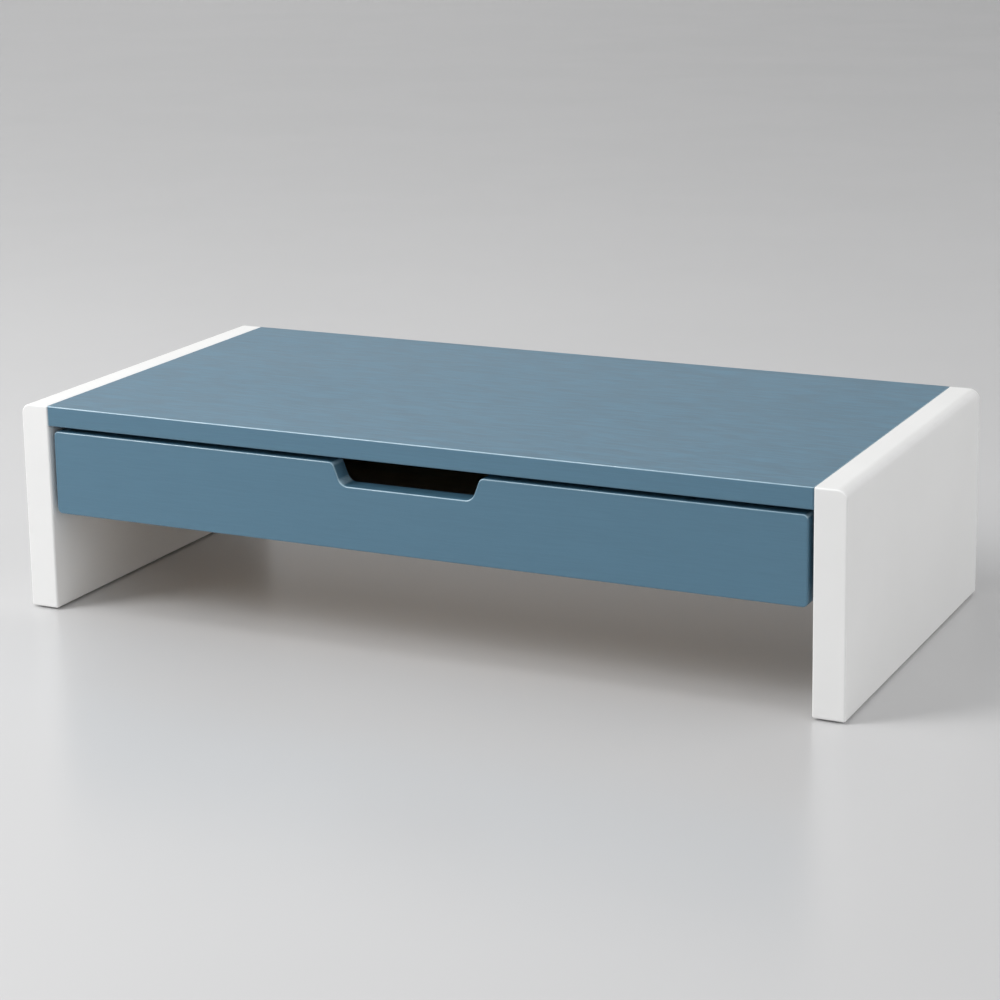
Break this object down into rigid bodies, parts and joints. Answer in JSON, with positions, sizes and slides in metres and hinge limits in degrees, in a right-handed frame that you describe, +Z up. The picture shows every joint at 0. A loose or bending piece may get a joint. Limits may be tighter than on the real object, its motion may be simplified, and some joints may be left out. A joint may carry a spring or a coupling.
{
  "type": "desk shelf riser with drawer",
  "caption": "Low desk shelf: white side panels carry a flush blue top, and a blue-fronted drawer with a cut finger notch slides out below it.",
  "frame": {"origin": "on the surface the shelf stands on, under the middle of its width and depth", "axes": "+X to the right along the width, -Y towards the drawer's front, +Z up"},
  "size_m": [0.5, 0.24, 0.123],
  "materials": {
    "white_lacquer": "satin white lacquer",
    "blue_lacquer": "satin blue lacquer, faint grain",
    "birch_box": "clear-lacquered birch",
    "slide_steel": "zinc plated",
    "ball_steel": "polished",
    "cage_steel": "pressed sheet",
    "buffer_plastic": "black nylon",
    "screw_steel": "zinc plated",
    "bolt_steel": "zinc plated",
    "cam_zinc": "zinc casting",
    "beech_dowel": "plain beech",
    "pad_rubber": "matt"
  },
  "bodies": {
    "carcass": {"left_side_panel": "white_lacquer", "right_side_panel": "white_lacquer", "top_panel": "blue_lacquer", "back_rail": "blue_lacquer", "foot_pads": "pad_rubber", "left_outer_rail": "slide_steel", "right_outer_rail": "slide_steel", "left_slide_buffer": "buffer_plastic", "right_slide_buffer": "buffer_plastic", "outer_rail_screws": "screw_steel", "carcass_dowels": "beech_dowel", "carcass_cam_bolts": "bolt_steel", "carcass_cam_locks": "cam_zinc"},
    "drawer": {"drawer_front": "blue_lacquer", "drawer_left_side": "birch_box", "drawer_right_side": "birch_box", "drawer_back": "birch_box", "drawer_bottom": "birch_box", "left_inner_rail": "slide_steel", "right_inner_rail": "slide_steel", "inner_rail_screws": "screw_steel", "drawer_dowels": "beech_dowel", "drawer_cam_bolts": "bolt_steel", "drawer_cam_locks": "cam_zinc", "drawer_back_screws": "screw_steel"},
    "left_middle_member": {"left_middle_rail": "slide_steel"},
    "left_outer_ball_set": {"left_outer_ball_cage": "cage_steel", "left_outer_balls": "ball_steel"},
    "left_inner_ball_set": {"left_inner_ball_cage": "cage_steel", "left_inner_balls": "ball_steel"},
    "right_middle_member": {"right_middle_rail": "slide_steel"},
    "right_outer_ball_set": {"right_outer_ball_cage": "cage_steel", "right_outer_balls": "ball_steel"},
    "right_inner_ball_set": {"right_inner_ball_cage": "cage_steel", "right_inner_balls": "ball_steel"}
  },
  "joints": [
    {"name": "drawer_slide", "type": "slide", "parent": "carcass", "child": "drawer", "axis": [0, -1, 0], "range_m": [0, 0.2]},
    {"name": "left_middle_slide", "type": "slide", "parent": "carcass", "child": "left_middle_member", "axis": [0, -1, 0], "range_m": [0, 0.1]},
    {"name": "left_outer_ball_run", "type": "slide", "parent": "carcass", "child": "left_outer_ball_set", "axis": [0, -1, 0], "range_m": [0, 0.05]},
    {"name": "left_inner_ball_run", "type": "slide", "parent": "carcass", "child": "left_inner_ball_set", "axis": [0, -1, 0], "range_m": [0, 0.15]},
    {"name": "right_middle_slide", "type": "slide", "parent": "carcass", "child": "right_middle_member", "axis": [0, -1, 0], "range_m": [0, 0.1]},
    {"name": "right_outer_ball_run", "type": "slide", "parent": "carcass", "child": "right_outer_ball_set", "axis": [0, -1, 0], "range_m": [0, 0.05]},
    {"name": "right_inner_ball_run", "type": "slide", "parent": "carcass", "child": "right_inner_ball_set", "axis": [0, -1, 0], "range_m": [0, 0.15]}
  ],
  "couplings": [
    {"joint": "left_middle_slide", "follows": "drawer_slide", "ratio": 0.5},
    {"joint": "left_outer_ball_run", "follows": "drawer_slide", "ratio": 0.25},
    {"joint": "left_inner_ball_run", "follows": "drawer_slide", "ratio": 0.75},
    {"joint": "right_middle_slide", "follows": "drawer_slide", "ratio": 0.5},
    {"joint": "right_outer_ball_run", "follows": "drawer_slide", "ratio": 0.25},
    {"joint": "right_inner_ball_run", "follows": "drawer_slide", "ratio": 0.75}
  ]
}
